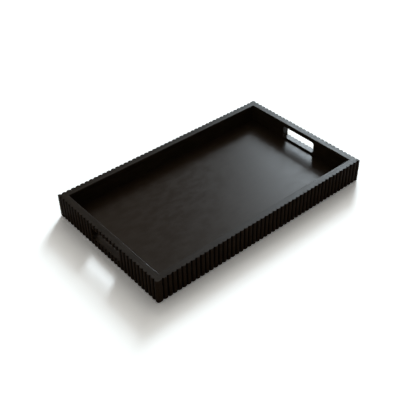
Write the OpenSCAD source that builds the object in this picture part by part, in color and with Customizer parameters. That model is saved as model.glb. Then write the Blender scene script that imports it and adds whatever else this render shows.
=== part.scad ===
// Ribbed wooden tray: four mitred rails around a grooved-in base panel, with a handle slot in each end rail.
// The origin is the middle of the tray on the surface it stands on. +X runs along the tray, +Z is up.

/* [Tray] */
// Overall length, over the ribs of the end rails
tray_l = 500; // [300:5:700]
// Overall width, over the ribs of the long rails
tray_w = 300; // [200:5:450]
// Overall height, from the surface it stands on to the rim
tray_h = 50; // [50:1:80]

/* [Rails] */
// Thickness of a rail, from the crest of a rib to the smooth inner face
rail_t = 15; // [14:0.5:20]
// Width of one rib, before it is fitted to a whole number of ribs on a rail
rib_pitch = 10; // [8:0.5:14]
// Depth of the valley between two ribs
rib_depth = 3; // [2:0.25:3.5]
// How much wider the first rib of a long rail is than the others, at its left-hand end seen from outside
rib_extra = 3.25; // [0.5:0.25:4]
// Size of the eased edge along the inside of the rim
rim_ease = 1; // [0.5:0.25:2]

/* [Handle slots] */
// Length of a slot
slot_l = 85; // [70:1:110]
// Height of a slot
slot_h = 25; // [18:1:26]
// Height of wood left above a slot
slot_cover = 9; // [7:0.5:10]
// Radius of a slot's corners
slot_r = 5; // [2:0.5:8]

/* [Base panel] */
// Thickness of the panel
panel_t = 4; // [3:0.5:5]
// Height of the panel's upper face above the surface the tray stands on
floor_z = 12; // [9:0.5:13]
// Depth of the groove that holds the panel's edge
groove_d = 5; // [3:0.5:6]

/* [Corner splines] */
// Thickness of a spline
spline_t = 3; // [2:0.5:4]
// Width of a spline, measured across the mitre
spline_w = 9; // [6:0.5:10]
// Height of a spline
spline_h = 24; // [15:1:28]
// Distance from the tray's outer faces to the middle of a spline
spline_in = 10; // [9.5:0.25:11]
// Height of a spline's lower end above the surface the tray stands on
spline_z = 16; // [14.5:0.5:18]

/* [Felt pads] */
// Diameter of a pad
pad_d = 8; // [6:0.5:9]
// Thickness of a pad
pad_h = 2; // [1.5:0.25:3]
// How far a pad stands out below the rails
pad_out = 0.5; // [0.25:0.25:1]
// Distance from the tray's outer faces to the middle of a pad
pad_in = 9.5; // [9:0.25:10]

/* [Fits] */
// Play between the panel's upper face and its groove
groove_play = 0.2; // [0.1:0.05:0.4]
// Room for the panel to swell, at each edge
panel_gap = 0.3; // [0.1:0.05:0.6]
// Play around a spline in its mortise
spline_play = 0.1; // [0.05:0.05:0.2]
// Play around a pad in its recess
pad_play = 0.2; // [0.1:0.05:0.3]

/* [Hidden] */
$fn = 64;
// How far a cut runs past the face that it opens
overrun = 2;
rail_h = tray_h - pad_out;
panel_z = floor_z - panel_t;
panel_l = tray_l - 2 * (rail_t - groove_d + panel_gap);
panel_w = tray_w - 2 * (rail_t - groove_d + panel_gap);
slot_z = tray_h - slot_cover - slot_h / 2;
stain = [0.16, 0.12, 0.10];
stain_panel = [0.20, 0.16, 0.14];
beech = [0.76, 0.60, 0.42];
felt = [0.22, 0.18, 0.16];

// Radius of a rib whose neighbours cut it off at the depth of the valley
function rib_radius(pitch) = (pitch * pitch / 4 + rib_depth * rib_depth) / (2 * rib_depth);

// Plan of a rail with its outer face along the X axis and its body on the +Y side, its first rib wider by extra
module rail_plan(length, extra) {
    ribs = round(length / rib_pitch);
    pitch = length / ribs;
    rib_r = rib_radius(pitch);
    intersection() {
        // The two mitres
        polygon([
            [-length / 2 - overrun, -overrun],
            [length / 2 + overrun, -overrun],
            [length / 2 - rail_t, rail_t],
            [-length / 2 + rail_t, rail_t]
        ]);
        union() {
            translate([-length / 2 - overrun, rib_r])
                square([length + 2 * overrun, rail_t + overrun - rib_r]);
            for (i = [0 : ribs - 1])
                translate([(i + 0.5) * pitch - length / 2 + extra, rib_r]) circle(rib_r);
            // The rest of a wider first rib
            if (extra > 0)
                translate([(pitch - length) / 2, 0]) {
                    translate([0, rib_r]) circle(rib_r);
                    square([extra, rib_r]);
                }
        }
    }
}

// Upright block for a spline or its mortise, set square across the mitre at one end of a rail
module spline_block(length, side, play) {
    translate([side * (length / 2 - spline_in), spline_in, spline_z + spline_h / 2])
        rotate([0, 0, side * 45])
            cube([spline_w + 2 * play, spline_t + 2 * play, spline_h + 2 * play], center = true);
}

// One rail, ready for the panel, the splines and the pads
module rail(length, extra) {
    difference() {
        translate([0, 0, pad_out]) linear_extrude(rail_h) rail_plan(length, extra);
        // Groove for the panel
        translate([-length / 2, rail_t - groove_d, panel_z])
            cube([length, groove_d + overrun, panel_t + groove_play]);
        // Eased inner edge of the rim
        translate([0, rail_t, tray_h])
            rotate([45, 0, 0])
                cube([length, sqrt(2) * rim_ease, sqrt(2) * rim_ease], center = true);
        for (side = [-1, 1]) {
            spline_block(length, side, spline_play);
            translate([side * (length / 2 - pad_in), pad_in, pad_h])
                mirror([0, 0, 1]) cylinder(d = pad_d + 2 * pad_play, h = pad_h + overrun);
        }
    }
}

// Outline of a handle slot, with round corners
module slot_outline() {
    square([slot_l, slot_h - 2 * slot_r], center = true);
    square([slot_l - 2 * slot_r, slot_h], center = true);
    for (x = [-1, 1], y = [-1, 1])
        translate([x * (slot_l / 2 - slot_r), y * (slot_h / 2 - slot_r)]) circle(slot_r);
}

// A rail with a handle slot through its middle
module end_rail() {
    difference() {
        rail(tray_w, 0);
        translate([0, rail_t + overrun, slot_z])
            rotate([90, 0, 0])
                linear_extrude(rail_t + 2 * overrun) slot_outline();
    }
}

module front_rail() {
    color(stain) translate([0, -tray_w / 2, 0]) rail(tray_l, rib_extra);
}

module back_rail() {
    color(stain) translate([0, tray_w / 2, 0]) rotate([0, 0, 180]) rail(tray_l, rib_extra);
}

module left_end_rail() {
    color(stain) translate([-tray_l / 2, 0, 0]) rotate([0, 0, -90]) end_rail();
}

module right_end_rail() {
    color(stain) translate([tray_l / 2, 0, 0]) rotate([0, 0, 90]) end_rail();
}

module base_panel() {
    color(stain_panel)
        translate([-panel_l / 2, -panel_w / 2, panel_z]) cube([panel_l, panel_w, panel_t]);
}

// Loose tongue in the mitre at the corner that x_side and y_side name with -1 or 1
module corner_spline(x_side, y_side) {
    color(beech)
        translate([0, y_side * tray_w / 2, 0])
            mirror([0, (1 + y_side) / 2, 0]) spline_block(tray_l, x_side, 0);
}

// Round felt pad in its recess under the corner that x_side and y_side name with -1 or 1
module corner_pad(x_side, y_side) {
    color(felt)
        translate([x_side * (tray_l / 2 - pad_in), y_side * (tray_w / 2 - pad_in), 0])
            cylinder(d = pad_d, h = pad_h);
}

front_rail();
back_rail();
left_end_rail();
right_end_rail();
base_panel();
corner_spline(-1, -1);  // spline_front_left
corner_spline(1, -1);  // spline_front_right
corner_spline(-1, 1);  // spline_back_left
corner_spline(1, 1);  // spline_back_right
corner_pad(-1, -1);  // pad_front_left
corner_pad(1, -1);  // pad_front_right
corner_pad(-1, 1);  // pad_back_left
corner_pad(1, 1);  // pad_back_right
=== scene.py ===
"""A serving tray in dark stained wood: four reeded rails round a veneered base, on a studio table."""

from __future__ import annotations

import logging
import math
from collections.abc import Sequence
from dataclasses import dataclass, field, replace
from enum import Enum

import bmesh
import bpy
from mathutils import Matrix, Vector

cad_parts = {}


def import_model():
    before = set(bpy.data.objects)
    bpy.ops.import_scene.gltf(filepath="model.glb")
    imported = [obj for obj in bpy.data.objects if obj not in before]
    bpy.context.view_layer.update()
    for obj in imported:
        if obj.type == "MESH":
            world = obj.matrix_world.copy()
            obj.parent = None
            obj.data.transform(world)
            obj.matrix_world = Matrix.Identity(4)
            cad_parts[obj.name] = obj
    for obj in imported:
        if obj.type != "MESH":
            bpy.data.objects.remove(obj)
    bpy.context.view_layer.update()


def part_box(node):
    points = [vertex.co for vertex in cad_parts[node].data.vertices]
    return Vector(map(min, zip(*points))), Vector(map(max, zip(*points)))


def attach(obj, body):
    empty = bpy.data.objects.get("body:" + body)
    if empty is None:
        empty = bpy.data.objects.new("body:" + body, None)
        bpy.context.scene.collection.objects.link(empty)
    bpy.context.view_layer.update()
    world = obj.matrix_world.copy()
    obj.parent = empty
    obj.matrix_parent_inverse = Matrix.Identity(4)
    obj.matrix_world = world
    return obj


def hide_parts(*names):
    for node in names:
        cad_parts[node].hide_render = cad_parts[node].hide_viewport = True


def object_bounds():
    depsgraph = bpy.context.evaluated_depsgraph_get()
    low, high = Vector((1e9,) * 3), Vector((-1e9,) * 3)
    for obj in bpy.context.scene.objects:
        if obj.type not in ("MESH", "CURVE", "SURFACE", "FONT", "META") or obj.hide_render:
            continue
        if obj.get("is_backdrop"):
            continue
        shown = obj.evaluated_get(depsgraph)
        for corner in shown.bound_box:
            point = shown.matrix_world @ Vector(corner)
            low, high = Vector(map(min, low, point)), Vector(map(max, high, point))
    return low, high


LOG = logging.getLogger("tray")

MM = 0.001
BODY = "root"
SMOOTH_ANGLE = math.radians(35)
# Points nearer than this are one point
WELD = 0.001 * MM
# Upward part of a face's normal: a wall's is below the first, an eased edge's lies between the other two
WALL_RISE = 0.5
EDGE_RISE = (0.02, 0.98)
# Sockets of a Mix node that mixes colours, by number because several of them share a name
MIX_SHARE, MIX_FIRST, MIX_SECOND, MIX_RESULT = 0, 6, 7, 2

Point = tuple[float, float]
Span = tuple[float, float]
Colour = tuple[float, float, float]
Ring = list[Vector]


class Side(Enum):
    """A wall of the tray, with the turn about Z that brings a rail's own +Y to point inwards."""

    FRONT = 0
    RIGHT = 90
    BACK = 180
    LEFT = 270

    @property
    def turn(self) -> Matrix:
        """The rotation from a rail's own axes to the tray's."""
        return Matrix.Rotation(math.radians(self.value), 4, "Z")


class Grain(Enum):
    """The direction that the wood's fibres run in, as the turn about Z that lays the texture along it."""

    ALONG_X = 0.0
    ALONG_Y = math.pi / 2


class Finish(Enum):
    """Part of a rail with a finish of its own, as the place of its material in the piece's list."""

    FLATS = 0
    RIBS = 1
    # Painted shade in the valleys between the ribs
    VALLEYS = 2
    ARRIS = 3
    SLOT = 4


# Finishes


class Nodes:
    """A short way to write a material's node tree."""

    def __init__(self, name: str) -> None:
        """Make an empty material with a Principled shader.

        Args:
            name: The material's name.
        """
        self.material = bpy.data.materials.new(name)
        self.material.use_nodes = True
        self.tree = self.material.node_tree
        self.tree.nodes.clear()
        self.shader = self.add("ShaderNodeBsdfPrincipled")
        self.link(self.shader, "BSDF", self.add("ShaderNodeOutputMaterial"), "Surface")

    def add(self, kind: str, **settings: object) -> bpy.types.Node:
        """Add a node.

        Args:
            kind: Blender's name for the node type.
            **settings: Properties of the node, or input sockets by name with underscores for spaces.

        Returns:
            The node.
        """
        node = self.tree.nodes.new(kind)
        for key, value in settings.items():
            if hasattr(node, key):
                setattr(node, key, value)
            else:
                node.inputs[key.replace("_", " ")].default_value = value
        return node

    def link(self, start: bpy.types.Node, out: str | int, end: bpy.types.Node, into: str | int) -> None:
        """Join one node's output to another's input."""
        self.tree.links.new(start.outputs[out], end.inputs[into])

    def grain_space(self, turn: float, stretch: tuple[float, float, float]) -> bpy.types.Node:
        """Coordinates in metres that are turned to the grain and then stretched.

        Args:
            turn: Angle about Z from the tray's X axis to the grain.
            stretch: Scale along, across and through the grain.

        Returns:
            The mapping node, whose Vector output the textures take.
        """
        coords = self.add("ShaderNodeTexCoord")
        align = self.add("ShaderNodeVectorRotate", rotation_type="Z_AXIS", Angle=-turn)
        scale = self.add("ShaderNodeMapping", Scale=stretch)
        self.link(coords, "Object", align, "Vector")
        self.link(align, "Vector", scale, "Vector")
        return scale

    def noise(self, space: bpy.types.Node, scale: float, detail: float, rough: float) -> bpy.types.Node:
        """Fractal noise in a space.

        Args:
            space: The node that gives the coordinates.
            scale: Features per metre of that space.
            detail: Number of octaves.
            rough: How strong each next octave is.

        Returns:
            The noise node.
        """
        node = self.add("ShaderNodeTexNoise", Scale=scale, Detail=detail, Roughness=rough)
        self.link(space, "Vector", node, "Vector")
        return node

    def remap(self, noise: bpy.types.Node, span: Span, result: Span = (0.0, 1.0)) -> bpy.types.Node:
        """Stretch a span of a noise's values to another span, held at both ends.

        Args:
            noise: The noise.
            span: The two values that are mapped.
            result: What they become.

        Returns:
            The Map Range node, whose output is Result.
        """
        node = self.add("ShaderNodeMapRange")
        for ends, values in (("From", span), ("To", result)):
            node.inputs[f"{ends} Min"].default_value, node.inputs[f"{ends} Max"].default_value = values
        self.link(noise, "Fac", node, "Value")
        return node

    def colour(self, share: bpy.types.Node, out: str, first: Colour, second: Colour) -> None:
        """Colour the surface with a mix of two colours.

        Args:
            share: Node that gives the share of the second colour.
            out: Its output.
            first: Colour at share 0.
            second: Colour at share 1.
        """
        mix = self.add("ShaderNodeMix", data_type="RGBA")
        mix.inputs[MIX_FIRST].default_value = (*first, 1)
        mix.inputs[MIX_SECOND].default_value = (*second, 1)
        self.link(share, out, mix, MIX_SHARE)
        self.link(mix, MIX_RESULT, self.shader, "Base Color")

    def roughen(self, noise: bpy.types.Node, span: Span, roughness: Span) -> None:
        """Let the surface's roughness follow a noise, from one value to another over a span of the noise."""
        self.link(self.remap(noise, span, roughness), "Result", self.shader, "Roughness")

    def bump(self, height: bpy.types.Node, out: str, strength: float, depth: float) -> None:
        """Tilt the surface by a height.

        Args:
            height: Node that gives the height, from 0 to 1.
            out: Its output.
            strength: Share of the full effect.
            depth: Height of 1, in metres.
        """
        node = self.add("ShaderNodeBump", Strength=strength, Distance=depth)
        self.link(height, out, node, "Height")
        self.link(node, "Normal", self.shader, "Normal")


@dataclass(frozen=True)
class StainedWood:
    """Dark stained timber under satin lacquer, with fine open pores that run along the grain."""

    name: str
    grain: Grain = Grain.ALONG_X
    deep: Colour = (0.0092, 0.0054, 0.0025)
    pale: Colour = (0.0200, 0.0128, 0.0068)
    roughness: Span = (0.345, 0.395)
    specular: float = 0.068
    figure_per_metre: float = 160.0
    figure_stretch: float = 0.20
    figure_span: Span = (0.32, 0.68)
    gloss_span: Span = (0.43, 0.57)
    pores_per_metre: float = 900.0
    pore_stretch: float = 0.07
    pore_span: Span = (0.34, 0.60)
    pore_depth: float = 0.05 * MM

    def along(self, grain: Grain) -> StainedWood:
        """The same finish for wood whose grain runs one way, which its name then ends with."""
        return replace(self, name=f"{self.name}_{grain.name.lower()}", grain=grain)

    def make(self) -> bpy.types.Material:
        """Build the material.

        Returns:
            The material, with its colour, gloss and pores from noise.
        """
        nodes = Nodes(self.name)
        figure_space = nodes.grain_space(self.grain.value, (self.figure_stretch, 1.0, 1.0))
        figure = nodes.noise(figure_space, self.figure_per_metre, detail=5.0, rough=0.55)
        pore_space = nodes.grain_space(self.grain.value, (self.pore_stretch, 1.0, 1.0))
        pores = nodes.noise(pore_space, self.pores_per_metre, detail=3.0, rough=0.6)
        both = nodes.add("ShaderNodeMath", operation="MULTIPLY")
        nodes.link(nodes.remap(figure, self.figure_span), "Result", both, 0)
        nodes.link(nodes.remap(pores, self.pore_span), "Result", both, 1)
        nodes.colour(both, "Value", self.deep, self.pale)
        nodes.roughen(figure, self.gloss_span, self.roughness)
        nodes.shader.inputs["Specular IOR Level"].default_value = self.specular
        nodes.bump(pores, "Fac", strength=1.0, depth=self.pore_depth)
        return nodes.material


# Lacquer is thin on the milled ribs, and the valleys between them are painted much darker
# and matt, as painted shade. The rim's inner arris and the walls of the slots are rubbed smooth.
RAIL_FINISHES = {
    Finish.FLATS: StainedWood("stained_flats"),
    Finish.RIBS: StainedWood(
        "stained_ribs",
        deep=(0.0090, 0.0047, 0.0022),
        pale=(0.0172, 0.0097, 0.0048),
        roughness=(0.53, 0.57),
        specular=0.020,
    ),
    # Painted shade in the ribs' valleys: a much darker, matt copy of the wood
    Finish.VALLEYS: StainedWood(
        "stained_valleys",
        deep=(0.0022, 0.0013, 0.0007),
        pale=(0.0050, 0.0029, 0.0015),
        roughness=(0.58, 0.62),
        specular=0.012,
    ),
    Finish.ARRIS: StainedWood("stained_arris", roughness=(0.155, 0.185), specular=0.30),
    Finish.SLOT: StainedWood(
        "stained_slot",
        deep=(0.0070, 0.0040, 0.0019),
        pale=(0.0200, 0.0122, 0.0064),
        roughness=(0.23, 0.27),
        specular=0.075,
    ),
}
PANEL_FINISH = StainedWood(
    "stained_panel_veneer",
    deep=(0.0160, 0.0097, 0.0051),
    pale=(0.0200, 0.0122, 0.0067),
    roughness=(0.277, 0.330),
    specular=0.066,
    figure_per_metre=80.0,
    figure_stretch=0.50,
    pore_depth=0.008 * MM,
)


@dataclass(frozen=True)
class BareBeech:
    """Pale unfinished wood of a joiner's loose tongue."""

    name: str = "beech"
    pale: Colour = (0.56, 0.37, 0.21)
    dark: Colour = (0.42, 0.25, 0.13)
    roughness: Span = (0.55, 0.7)
    flecks_per_metre: float = 1400.0
    fleck_stretch: float = 0.12
    fleck_depth: float = 0.05 * MM

    def make(self) -> bpy.types.Material:
        """Build the material.

        Returns:
            The material, with short upright flecks.
        """
        nodes = Nodes(self.name)
        space = nodes.grain_space(0.0, (1.0, 1.0, self.fleck_stretch))
        flecks = nodes.noise(space, self.flecks_per_metre, detail=3.0, rough=0.6)
        share = nodes.remap(flecks, span=(0.35, 0.65))
        nodes.colour(share, "Result", self.pale, self.dark)
        nodes.roughen(flecks, span=(0.3, 0.7), roughness=self.roughness)
        nodes.bump(share, "Result", strength=0.4, depth=self.fleck_depth)
        return nodes.material


@dataclass(frozen=True)
class PressedFelt:
    """Dark pressed felt, matted from short fibres."""

    name: str = "felt"
    deep: Colour = (0.010, 0.008, 0.007)
    pale: Colour = (0.032, 0.027, 0.024)
    roughness: float = 0.95
    sheen: float = 0.4
    specular: float = 0.15
    fibres_per_metre: float = 2600.0
    fibre_depth: float = 0.2 * MM

    def make(self) -> bpy.types.Material:
        """Build the material.

        Returns:
            The material, with matted fibres and a soft sheen.
        """
        nodes = Nodes(self.name)
        space = nodes.grain_space(0.0, (1.0, 1.0, 1.0))
        fibres = nodes.noise(space, self.fibres_per_metre, detail=4.0, rough=0.7)
        share = nodes.remap(fibres, span=(0.35, 0.65))
        nodes.colour(share, "Result", self.deep, self.pale)
        nodes.shader.inputs["Roughness"].default_value = self.roughness
        nodes.shader.inputs["Sheen Weight"].default_value = self.sheen
        nodes.shader.inputs["Specular IOR Level"].default_value = self.specular
        nodes.bump(share, "Result", strength=0.8, depth=self.fibre_depth)
        return nodes.material


# Mesh tools


def rounding(radius: float, steps: int) -> list[Point]:
    """Quarter round of an eased edge, from the flat face to the wall.

    Args:
        radius: Radius of the edge.
        steps: Number of straight parts.

    Returns:
        Pairs of depth below the flat face and setback from the wall.
    """
    angles = [math.pi / 2 * k / steps for k in range(steps + 1)]
    return [(radius * (1 - math.cos(a)), radius * (1 - math.sin(a))) for a in angles]


def setback(depth: float, radius: float) -> float:
    """How far an eased edge stands back from its wall.

    Args:
        depth: Distance below the flat face.
        radius: Radius of the edge.

    Returns:
        The setback, which is zero past the radius.
    """
    if depth >= radius:
        return 0.0
    return radius - math.sqrt(radius**2 - (radius - depth) ** 2)


def disc(centre: Point, radius: float, z: float, sides: int = 40) -> Ring:
    """Ring of points round an upright axis.

    Args:
        centre: Where the axis is.
        radius: Radius of the ring.
        z: Its height.
        sides: Number of points.

    Returns:
        The ring, counter-clockwise seen from above.
    """
    turns = [2 * math.pi * k / sides for k in range(sides)]
    return [Vector((centre[0] + radius * math.cos(a), centre[1] + radius * math.sin(a), z)) for a in turns]


def loft(rings: Sequence[Ring]) -> bmesh.types.BMesh:
    """Closed skin through rings that have the same number of points.

    Args:
        rings: The rings in order. A ring runs counter-clockwise seen from the last one's side.

    Returns:
        The mesh, capped at both ends.
    """
    mesh = bmesh.new()
    rows = [[mesh.verts.new(p) for p in ring] for ring in rings]
    count = len(rows[0])
    for low, high in zip(rows, rows[1:]):
        for i in range(count):
            j = (i + 1) % count
            mesh.faces.new((low[i], low[j], high[j], high[i]))
    mesh.faces.new(list(reversed(rows[0])))
    mesh.faces.new(rows[-1])
    return mesh


def finish_mesh(name: str, mesh: bmesh.types.BMesh, place: Matrix) -> bpy.types.Object:
    """Turn a working mesh into a piece with clean normals.

    Args:
        name: Name of the piece.
        mesh: The working mesh, which is freed.
        place: Where it goes in the tray's axes.

    Returns:
        The object, linked to the scene.
    """
    bmesh.ops.remove_doubles(mesh, verts=mesh.verts, dist=WELD)
    bmesh.ops.transform(mesh, matrix=place, verts=mesh.verts)
    bmesh.ops.recalc_face_normals(mesh, faces=mesh.faces)
    data = bpy.data.meshes.new(name)
    mesh.to_mesh(data)
    mesh.free()
    piece = bpy.data.objects.new(name, data)
    bpy.context.scene.collection.objects.link(piece)
    return piece


def shade(piece: bpy.types.Object) -> None:
    """Smooth the round stretches and keep the flats flat.

    Args:
        piece: The piece.
    """
    for face in piece.data.polygons:
        face.use_smooth = True
    piece.data.set_sharp_from_angle(angle=SMOOTH_ANGLE)
    weighted = piece.modifiers.new("flats", "WEIGHTED_NORMAL")
    weighted.keep_sharp = True
    weighted.weight = 100


def carve(piece: bpy.types.Object, cutter: bpy.types.Object) -> None:
    """Cut one solid out of another and drop the cutter.

    Args:
        piece: The solid that is cut.
        cutter: The solid that is taken away.
    """
    cut = piece.modifiers.new("cut", "BOOLEAN")
    cut.operation = "DIFFERENCE"
    cut.solver = "EXACT"
    cut.object = cutter
    graph = bpy.context.evaluated_depsgraph_get()
    result = bpy.data.meshes.new_from_object(piece.evaluated_get(graph))
    old = piece.data
    piece.modifiers.clear()
    piece.data = result
    bpy.data.meshes.remove(old)
    bpy.data.objects.remove(cutter)


def dress(piece: bpy.types.Object, material: bpy.types.Material, slot: str, *nodes: str) -> None:
    """Give a piece its finish and its body, and hide the CAD nodes that it stands for.

    Args:
        piece: The piece.
        material: Its material.
        slot: The record's material slot. Not used.
        *nodes: Names of the CAD nodes that it replaces.
    """
    piece.data.materials.clear()
    piece.data.materials.append(material)
    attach(piece, BODY)
    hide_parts(*nodes)


# The tray


@dataclass(frozen=True)
class Reeding:
    """Row of upright half-round ribs milled on a rail's outer face, the first one wider by extra."""

    extra: float
    pitch: float = 10.0 * MM
    depth: float = 3.0 * MM
    valley_r: float = 0.3 * MM
    rib_steps: int = 14
    valley_steps: int = 4

    def rib_radius(self, pitch: float) -> float:
        """Radius of a rib that meets its neighbours in small round valleys at the reeding's depth."""
        low = self.depth - self.valley_r
        return (pitch**2 / 4 + low**2 - self.valley_r**2) / (2 * (low + self.valley_r))

    def outline(self, length: float, inset: float) -> list[Point]:
        """Plan of the reeded face between the two mitres of a rail.

        Args:
            length: Length of the rail over its outer face, which lies along X at Y zero.
            inset: Distance that the face is set back all over.

        Returns:
            Points from the left mitre to the right one.
        """
        count = round(length / self.pitch)
        pitch = length / count
        full_r = self.rib_radius(pitch)
        rib_r = full_r - inset
        valley_r = self.valley_r + inset
        valley_y = self.depth - self.valley_r
        reach = math.asin(pitch / 2 / (full_r + self.valley_r))
        points: list[Point] = []
        for i in range(count):
            crest = (i + 0.5) * pitch - length / 2 + self.extra
            start = -self._mitre_angle(pitch / 2, full_r, rib_r) if i == 0 else -reach
            stop = self._mitre_angle(pitch / 2 - self.extra, full_r, rib_r) if i == count - 1 else reach
            for k in range(self.rib_steps + 1):
                angle = start + (stop - start) * k / self.rib_steps
                middle = crest - self.extra if i == 0 and angle < 0 else crest
                points.append((middle + rib_r * math.sin(angle), full_r - rib_r * math.cos(angle)))
            if i == count - 1:
                break
            for k in range(1, self.valley_steps):
                angle = -reach + 2 * reach * k / self.valley_steps
                points.append((
                    crest + pitch / 2 + valley_r * math.sin(angle),
                    valley_y + valley_r * math.cos(angle),
                ))
        return points

    @staticmethod
    def _mitre_angle(to_end: float, full_r: float, rib_r: float) -> float:
        """Angle from the crest of an end rib at which it runs into the mitre.

        Args:
            to_end: Distance from the rib's crest to the rail's end.
            full_r: Radius of the ribs.
            rib_r: Radius of the ribs as they are set back.

        Returns:
            The angle, above zero towards the mitre.
        """
        return math.pi / 4 - math.asin((full_r - to_end) / (rib_r * math.sqrt(2)))


@dataclass
class Rail:
    """One wall of the tray: reeded outside, smooth inside, grooved for the base and mitred at both ends."""

    node: str
    side: Side
    length: float
    offset: float
    thickness: float
    bottom: float
    top: float
    groove_bottom: float
    groove_top: float
    groove_depth: float
    finishes: dict[Finish, bpy.types.Material]
    reeding: Reeding
    outer_ease: float = 0.7 * MM
    inner_ease: float = 1.2 * MM
    # Depth into the reeding past which a face takes the painted valley shade
    valleys_from: float = 1.2 * MM
    ease_steps: int = 4
    pad_inset: float = 9.5 * MM
    recess_radius: float = 4.2 * MM
    recess_top: float = 2.0 * MM
    overrun: float = 2.0 * MM
    slot_name: str = "stained_rail_wood"

    @property
    def place(self) -> Matrix:
        """From the rail's own axes, with its outer face along X, to the tray's."""
        return self.side.turn @ Matrix.Translation((0, -self.offset, 0))

    def _ring(self, z: float, inner_y: float) -> Ring:
        """Plan of the rail at one height.

        Args:
            z: The height.
            inner_y: Where the inner face is at that height.

        Returns:
            The ring of points, outer face first.
        """
        edge = min(z - self.bottom, self.top - z)
        inset = setback(edge, self.outer_ease)
        outer = [Vector((x, y, z)) for x, y in self.reeding.outline(self.length, inset)]
        half = self.length / 2 - inner_y
        return [*outer, Vector((half, inner_y, z)), Vector((-half, inner_y, z))]

    def _heights(self) -> list[tuple[float, float]]:
        """Heights of the rings, each with the place of the inner face.

        Returns:
            Pairs of height and inner face, from the bottom up.
        """
        easing = rounding(self.outer_ease, self.ease_steps)
        inner_easing = rounding(self.inner_ease, self.ease_steps)
        rows = [(self.bottom + depth, self.thickness) for depth, _ in easing]
        rows.append((self.groove_bottom, self.thickness))
        rows.append((self.groove_bottom, self.thickness - self.groove_depth))
        rows.append((self.groove_top, self.thickness - self.groove_depth))
        rows.append((self.groove_top, self.thickness))
        depths = sorted({d for d, _ in [*easing, *inner_easing]}, reverse=True)
        rows += [(self.top - d, self.thickness - setback(d, self.inner_ease)) for d in depths]
        return rows

    def cut(self, piece: bpy.types.Object) -> None:
        """Cut the half recess for a felt pad at both ends of the underside.

        Args:
            piece: The rail.
        """
        heights = (self.bottom - self.overrun, self.recess_top)
        for side in (-1, 1):
            centre = (side * (self.length / 2 - self.pad_inset), self.pad_inset)
            mesh = loft([disc(centre, self.recess_radius, z) for z in heights])
            carve(piece, finish_mesh("recess_cutter", mesh, self.place))

    def in_cut(self, point: Vector) -> bool:
        """Whether a point lies on the walls of an opening through the rail. A plain rail has none."""
        return False

    def build(self) -> bpy.types.Object:
        """Make the rail in place.

        Returns:
            The piece, which stands for its CAD node.
        """
        mesh = loft([self._ring(z, inner_y) for z, inner_y in self._heights()])
        piece = finish_mesh(f"{self.node}_wood", mesh, self.place)
        self.cut(piece)
        shade(piece)
        dress(piece, self.finishes[Finish.FLATS], self.slot_name, self.node)
        self._finish_faces(piece)
        return piece

    def _finish_at(self, centre: Vector, rise: float) -> Finish:
        """The finish of one face.

        Args:
            centre: Middle of the face in the rail's own axes.
            rise: Upward part of its normal.

        Returns:
            The finish.
        """
        if centre.y < self.reeding.depth and abs(rise) < WALL_RISE:
            # Faces deep in the valleys take the painted shade
            return Finish.VALLEYS if centre.y > self.valleys_from else Finish.RIBS
        if self.in_cut(centre):
            return Finish.SLOT
        if centre.y > self.thickness - self.inner_ease and EDGE_RISE[0] < rise < EDGE_RISE[1]:
            return Finish.ARRIS
        return Finish.FLATS

    def _finish_faces(self, piece: bpy.types.Object) -> None:
        """Give every face the finish of its part of the rail.

        Args:
            piece: The rail.
        """
        for finish in list(Finish)[1:]:
            piece.data.materials.append(self.finishes[finish])
        own = self.place.inverted()
        for face in piece.data.polygons:
            face.material_index = self._finish_at(own @ face.center, face.normal.z).value


@dataclass
class EndRail(Rail):
    """A rail with a handle slot through its middle, eased round both mouths."""

    slot_length: float = 85.0 * MM
    slot_height: float = 25.0 * MM
    slot_cover: float = 9.0 * MM
    slot_radius: float = 5.0 * MM
    mouth_ease: float = 1.0 * MM
    corner_steps: int = 8
    tolerance: float = 0.1 * MM

    @property
    def slot_middle(self) -> float:
        """Height of the middle of the slot."""
        return self.top - self.slot_cover - self.slot_height / 2

    def _outline(self, y: float, grow: float) -> Ring:
        """Outline of the slot at one depth through the rail.

        Args:
            y: Distance from the rail's outer face.
            grow: How much larger the outline is than the slot.

        Returns:
            The ring of points.
        """
        half_x = self.slot_length / 2 - self.slot_radius
        half_z = self.slot_height / 2 - self.slot_radius
        radius = self.slot_radius + grow
        ring: Ring = []
        for quarter, (sign_x, sign_z) in enumerate(((1, 1), (-1, 1), (-1, -1), (1, -1))):
            for k in range(self.corner_steps + 1):
                angle = math.pi / 2 * (quarter + k / self.corner_steps)
                x = sign_x * half_x + radius * math.cos(angle)
                z = self.slot_middle + sign_z * half_z + radius * math.sin(angle)
                ring.append(Vector((x, y, z)))
        return ring

    def cut(self, piece: bpy.types.Object) -> None:
        """Cut the recesses, then the slot with a cutter that flares at both faces.

        Args:
            piece: The rail.
        """
        super().cut(piece)
        flare = rounding(self.mouth_ease, self.ease_steps)
        stations = [(-self.overrun, self.mouth_ease)]
        stations += [(depth, grow) for depth, grow in flare]
        stations += [(self.thickness - depth, grow) for depth, grow in reversed(flare)]
        stations.append((self.thickness + self.overrun, self.mouth_ease))
        mesh = loft([self._outline(y, grow) for y, grow in stations])
        carve(piece, finish_mesh("slot_cutter", mesh, self.place))

    def in_cut(self, point: Vector) -> bool:
        """Tell the walls of the slot, short of its inner mouth, from the rest of the rail.

        Args:
            point: A point on the rail's surface, in the rail's own axes.

        Returns:
            Whether the point lies on those walls.
        """
        along = abs(point.x) < self.slot_length / 2 + self.tolerance
        upright = abs(point.z - self.slot_middle) < self.slot_height / 2 + self.tolerance
        return along and upright and point.y < self.thickness - self.mouth_ease


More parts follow.
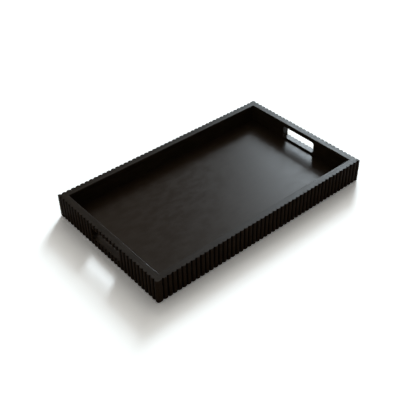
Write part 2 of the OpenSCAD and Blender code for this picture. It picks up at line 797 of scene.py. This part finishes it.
@dataclass
class BasePanel:
    """Thin veneered board whose edges lie in the rails' grooves."""

    node: str
    low: Vector
    high: Vector
    material: bpy.types.Material
    edge: float = 0.4 * MM
    edge_steps: int = 3
    slot_name: str = "stained_panel_veneer"

    def _ring(self, z: float) -> Ring:
        """Outline of the board at one height, set back at its rubbed edges.

        Args:
            z: The height.

        Returns:
            The ring of points.
        """
        inset = setback(min(z - self.low.z, self.high.z - z), self.edge)
        x0, y0 = self.low.x + inset, self.low.y + inset
        x1, y1 = self.high.x - inset, self.high.y - inset
        return [Vector((x, y, z)) for x, y in ((x0, y0), (x1, y0), (x1, y1), (x0, y1))]

    def build(self) -> bpy.types.Object:
        """Make the board in place.

        Returns:
            The piece, which stands for its CAD node.
        """
        depths = [depth for depth, _ in rounding(self.edge, self.edge_steps)]
        heights = [self.low.z + d for d in depths] + [self.high.z - d for d in reversed(depths)]
        piece = finish_mesh(f"{self.node}_board", loft([self._ring(z) for z in heights]), Matrix())
        shade(piece)
        dress(piece, self.material, self.slot_name, self.node)
        return piece


@dataclass
class CornerSpline:
    """Loose tongue that crosses a mitre, with fine glue flutes along both cheeks."""

    node: str
    centre: Vector
    turn: float
    width: float
    thickness: float
    height: float
    material: bpy.types.Material
    chamfer: float = 0.4 * MM
    flute_depth: float = 0.15 * MM
    flutes: int = 5
    slot_name: str = "spline_beech"

    def _cheek(self) -> list[Point]:
        """Half of the tongue's plan.

        Returns:
            Points along one fluted cheek, from end to end.
        """
        half, cheek = self.width / 2, self.thickness / 2
        span = 2 * (half - self.chamfer) / self.flutes
        points = [(-half, cheek - self.chamfer)]
        for i in range(self.flutes):
            start = -half + self.chamfer + i * span
            points.append((start, cheek))
            points.append((start + span / 2, cheek - self.flute_depth))
        points.append((half - self.chamfer, cheek))
        points.append((half, cheek - self.chamfer))
        return points

    def build(self) -> bpy.types.Object:
        """Make the tongue in place.

        Returns:
            The piece, which stands for its CAD node.
        """
        cheek = self._cheek()
        plan = [(x, -y) for x, y in cheek] + list(reversed(cheek))
        half, edge = self.height / 2, self.chamfer
        stations = ((-half, edge), (edge - half, 0.0), (half - edge, 0.0), (half, edge))
        rings = []
        for z, inset in stations:
            shrink_x = 1 - 2 * inset / self.width
            shrink_y = 1 - 2 * inset / self.thickness
            rings.append([Vector((x * shrink_x, y * shrink_y, z)) for x, y in plan])
        place = Matrix.Translation(self.centre) @ Matrix.Rotation(self.turn, 4, "Z")
        piece = finish_mesh(f"{self.node}_tongue", loft(rings), place)
        shade(piece)
        dress(piece, self.material, self.slot_name, self.node)
        return piece


@dataclass
class FeltPad:
    """Round felt pad with a rubbed lower edge, stuck under a corner."""

    node: str
    low: Vector
    high: Vector
    material: bpy.types.Material
    edge: float = 0.3 * MM
    edge_steps: int = 3
    waist: float = 0.08 * MM
    slot_name: str = "pad_felt"

    def build(self) -> bpy.types.Object:
        """Make the pad in place.

        Returns:
            The piece, which stands for its CAD node.
        """
        centre = (self.low + self.high) / 2
        radius = (self.high.x - self.low.x) / 2
        easing = rounding(self.edge, self.edge_steps)
        profile = [(self.low.z + depth, radius - inset) for depth, inset in easing]
        profile += [(centre.z, radius - self.waist / 2), (self.high.z, radius - self.waist)]
        rings = [disc((centre.x, centre.y), r, z) for z, r in profile]
        piece = finish_mesh(f"{self.node}_disc", loft(rings), Matrix())
        shade(piece)
        dress(piece, self.material, self.slot_name, self.node)
        return piece


@dataclass
class Tray:
    """The whole tray: its hidden sizes here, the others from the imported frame."""

    groove_play: float = 0.2 * MM
    groove_depth: float = 5.0 * MM
    first_rib_extra: float = 3.25 * MM
    spline_thickness: float = 3.0 * MM
    spline_width: float = 9.0 * MM

    def __post_init__(self) -> None:
        """Read the sizes that the frame holds and make the finishes."""
        low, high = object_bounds()
        self.span = high - low
        self.rail_low, self.rail_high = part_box("front_rail")
        self.panel_low, self.panel_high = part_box("base_panel")
        self.stains = {
            grain: {finish: wood.along(grain).make() for finish, wood in RAIL_FINISHES.items()}
            for grain in Grain
        }
        self.veneer = PANEL_FINISH.make()
        self.beech = BareBeech().make()
        self.felt = PressedFelt().make()

    def rail(self, kind: type[Rail], side: Side, node: str) -> Rail:
        """Describe one rail.

        Args:
            kind: Rail, or EndRail for one with a handle slot.
            side: Which wall it is.
            node: Its CAD node.

        Returns:
            The rail, ready to build.
        """
        along_x = side in (Side.FRONT, Side.BACK)
        grain = Grain.ALONG_X if along_x else Grain.ALONG_Y
        return kind(
            node=node,
            side=side,
            length=self.span.x if along_x else self.span.y,
            offset=(self.span.y if along_x else self.span.x) / 2,
            thickness=self.rail_high.y - self.rail_low.y,
            bottom=self.rail_low.z,
            top=self.rail_high.z,
            groove_bottom=self.panel_low.z,
            groove_top=self.panel_high.z + self.groove_play,
            groove_depth=self.groove_depth,
            finishes=self.stains[grain],
            reeding=Reeding(extra=self.first_rib_extra if along_x else 0.0),
        )

    def spline(self, node: str) -> CornerSpline:
        """Describe the spline of one corner.

        Args:
            node: Its CAD node.

        Returns:
            The spline, ready to build.
        """
        low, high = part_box(node)
        centre = (low + high) / 2
        turn = math.radians(-45 if centre.x * centre.y > 0 else 45)
        return CornerSpline(
            node, centre, turn, self.spline_width, self.spline_thickness, high.z - low.z, self.beech
        )

    def build(self) -> list[bpy.types.Object]:
        """Make every piece.

        Returns:
            The pieces.
        """
        pieces = [
            self.rail(Rail, Side.FRONT, "front_rail").build(),
            self.rail(Rail, Side.BACK, "back_rail").build(),
            self.rail(EndRail, Side.LEFT, "left_end_rail").build(),
            self.rail(EndRail, Side.RIGHT, "right_end_rail").build(),
            BasePanel("base_panel", self.panel_low, self.panel_high, self.veneer).build(),
        ]
        for corner in ("front_left", "front_right", "back_left", "back_right"):
            pieces.append(self.spline(f"spline_{corner}").build())
            pieces.append(FeltPad(f"pad_{corner}", *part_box(f"pad_{corner}"), self.felt).build())
        return pieces


# The studio


@dataclass(frozen=True)
class Softbox:
    """Soft rectangular light that hangs some way off and faces the tray, with its angles in degrees."""

    name: str
    azimuth: float
    elevation: float
    across: float
    upwards: float
    radiance: float
    colour: Colour
    distance: float = 14.0

    @property
    def direction(self) -> Vector:
        """From the tray to the light. Azimuth turns from +Y towards +X."""
        around, up = math.radians(self.azimuth), math.radians(self.elevation)
        return Vector((math.sin(around) * math.cos(up), math.cos(around) * math.cos(up), math.sin(up)))

    def hang(self) -> None:
        """Make the light."""
        data = bpy.data.lights.new(self.name, "AREA")
        data.shape = "RECTANGLE"
        half_across, half_up = math.radians(self.across / 2), math.radians(self.upwards / 2)
        data.size = 2 * self.distance * math.tan(half_across) * math.cos(math.radians(self.elevation))
        data.size_y = 2 * self.distance * math.tan(half_up)
        data.energy = self.radiance * data.size * data.size_y * math.pi
        data.color = self.colour
        light = bpy.data.objects.new(self.name, data)
        light.location = self.direction * self.distance
        light.rotation_mode = "QUATERNION"
        light.rotation_quaternion = (-self.direction).to_track_quat("-Z", "Y")
        bpy.context.scene.collection.objects.link(light)


@dataclass
class Studio:
    """Pale table, soft light and the photograph's camera."""

    camera_place: Vector = field(default_factory=lambda: Vector((-683.43, -792.46, 845.39)) * MM)
    azimuth: float = math.radians(-40.219)
    elevation: float = math.radians(39.802)
    roll: float = math.radians(-0.936)
    lens: float = 59.857
    sensor: float = 36.0
    clip: Span = (0.01, 100.0)
    table_radius: float = 1.3
    room_radius: float = 18.0
    wall_height: float = 5.0
    room_sides: int = 96
    table_roughness: float = 0.9
    table_colour: Colour = (0.88, 0.88, 0.88)
    table_seen: Colour = (1.38, 1.36, 1.32)
    world_colour: Colour = (1.0, 0.985, 0.955)
    world_strength: float = 0.225
    lights: tuple[Softbox, ...] = (
        Softbox(
            "window", azimuth=55.0, elevation=28.0, across=13.0, upwards=15.0,
            radiance=44.0, colour=(0.87, 1.0, 1.09),
        ),
        Softbox(
            "window_top", azimuth=59.5, elevation=40.0, across=30.0, upwards=12.0,
            radiance=6.5, colour=(0.95, 1.0, 1.03),
        ),
        Softbox(
            "ceiling", azimuth=50.0, elevation=58.0, across=80.0, upwards=18.0,
            radiance=2.2, colour=(1.0, 0.99, 0.96),
        ),
        Softbox(
            "reflector", azimuth=262.0, elevation=14.0, across=50.0, upwards=20.0,
            radiance=0.8, colour=(1.0, 0.98, 0.94),
        ),
    )

    def camera(self) -> None:
        """Make the camera at the photograph's place."""
        data = bpy.data.cameras.new("camera")
        data.lens = self.lens
        data.sensor_width = self.sensor
        data.clip_start, data.clip_end = self.clip
        level = math.cos(self.elevation)
        forward = Vector((
            -math.sin(self.azimuth) * level,
            math.cos(self.azimuth) * level,
            -math.sin(self.elevation),
        ))
        view = bpy.data.objects.new("camera", data)
        view.rotation_mode = "QUATERNION"
        aim = forward.to_track_quat("-Z", "Y").to_matrix().to_4x4()
        view.matrix_world = Matrix.Translation(self.camera_place) @ aim @ Matrix.Rotation(self.roll, 4, "Z")
        bpy.context.scene.collection.objects.link(view)
        bpy.context.scene.camera = view

    @staticmethod
    def seen(nodes: Nodes) -> bpy.types.Node:
        """Share that is 1 for rays that look at a surface and 0 for those that gather its light for another.

        Args:
            nodes: The material that it is for.

        Returns:
            The node, whose output is Value.
        """
        path = nodes.add("ShaderNodeLightPath")
        looked = nodes.add("ShaderNodeMath", operation="MAXIMUM")
        nodes.link(path, "Is Camera Ray", looked, 0)
        nodes.link(path, "Is Glossy Ray", looked, 1)
        share = nodes.add("ShaderNodeMath", operation="MAXIMUM")
        nodes.link(looked, "Value", share, 0)
        nodes.link(path, "Is Transmission Ray", share, 1)
        return share

    def paper(self, name: str, looks: Colour) -> tuple[Nodes, bpy.types.Node]:
        """Start a white paper, whose light on the tray is plain however bright it looks itself.

        Args:
            name: The material's name.
            looks: The colour that it shows.

        Returns:
            The material's nodes and the share of rays that look at it.
        """
        nodes = Nodes(name)
        nodes.shader.inputs["Roughness"].default_value = self.table_roughness
        nodes.shader.inputs["Specular IOR Level"].default_value = 0.0
        share = self.seen(nodes)
        nodes.colour(share, "Value", self.table_colour, looks)
        return nodes, share

    def table(self) -> None:
        """Make the round table top that takes the tray's shadow, in a room that is white all round."""
        plan = ((self.table_radius, 0.0), (self.room_radius, 0.0), (self.room_radius, self.wall_height))
        rings = [disc((0.0, 0.0), radius, z, self.room_sides) for radius, z in plan]
        mesh = bmesh.new()
        rows = [[mesh.verts.new(p) for p in ring] for ring in rings]
        mesh.faces.new(rows[0])
        for inner, outer in zip(rows, rows[1:]):
            for i in range(len(inner)):
                j = (i + 1) % len(inner)
                mesh.faces.new((inner[i], outer[i], outer[j], inner[j])).material_index = 1
        table = finish_mesh("table", mesh, Matrix())
        overexposed, _ = self.paper("table_paper", self.table_seen)
        white, share = self.paper("room_white", (0.0, 0.0, 0.0))
        white.shader.inputs["Emission Color"].default_value = (1, 1, 1, 1)
        white.link(share, "Value", white.shader, "Emission Strength")
        for nodes in (overexposed, white):
            table.data.materials.append(nodes.material)
        table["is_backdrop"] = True

    def world(self) -> None:
        """Fill the room with even light."""
        world = bpy.data.worlds.new("room")
        world.use_nodes = True
        background = world.node_tree.nodes["Background"]
        background.inputs["Color"].default_value = (*self.world_colour, 1)
        background.inputs["Strength"].default_value = self.world_strength
        bpy.context.scene.world = world

    def build(self) -> None:
        """Make the camera, table, lights and world."""
        bpy.context.scene.view_settings.view_transform = "Standard"
        self.camera()
        self.table()
        self.world()
        for light in self.lights:
            light.hang()


def main() -> None:
    """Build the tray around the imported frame, then the studio."""
    logging.basicConfig(level=logging.INFO, format="%(name)s: %(message)s")
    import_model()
    for piece in Tray().build():
        LOG.info("%s: %d faces", piece.name, len(piece.data.polygons))
    Studio().build()


if __name__ == "__main__":
    main()
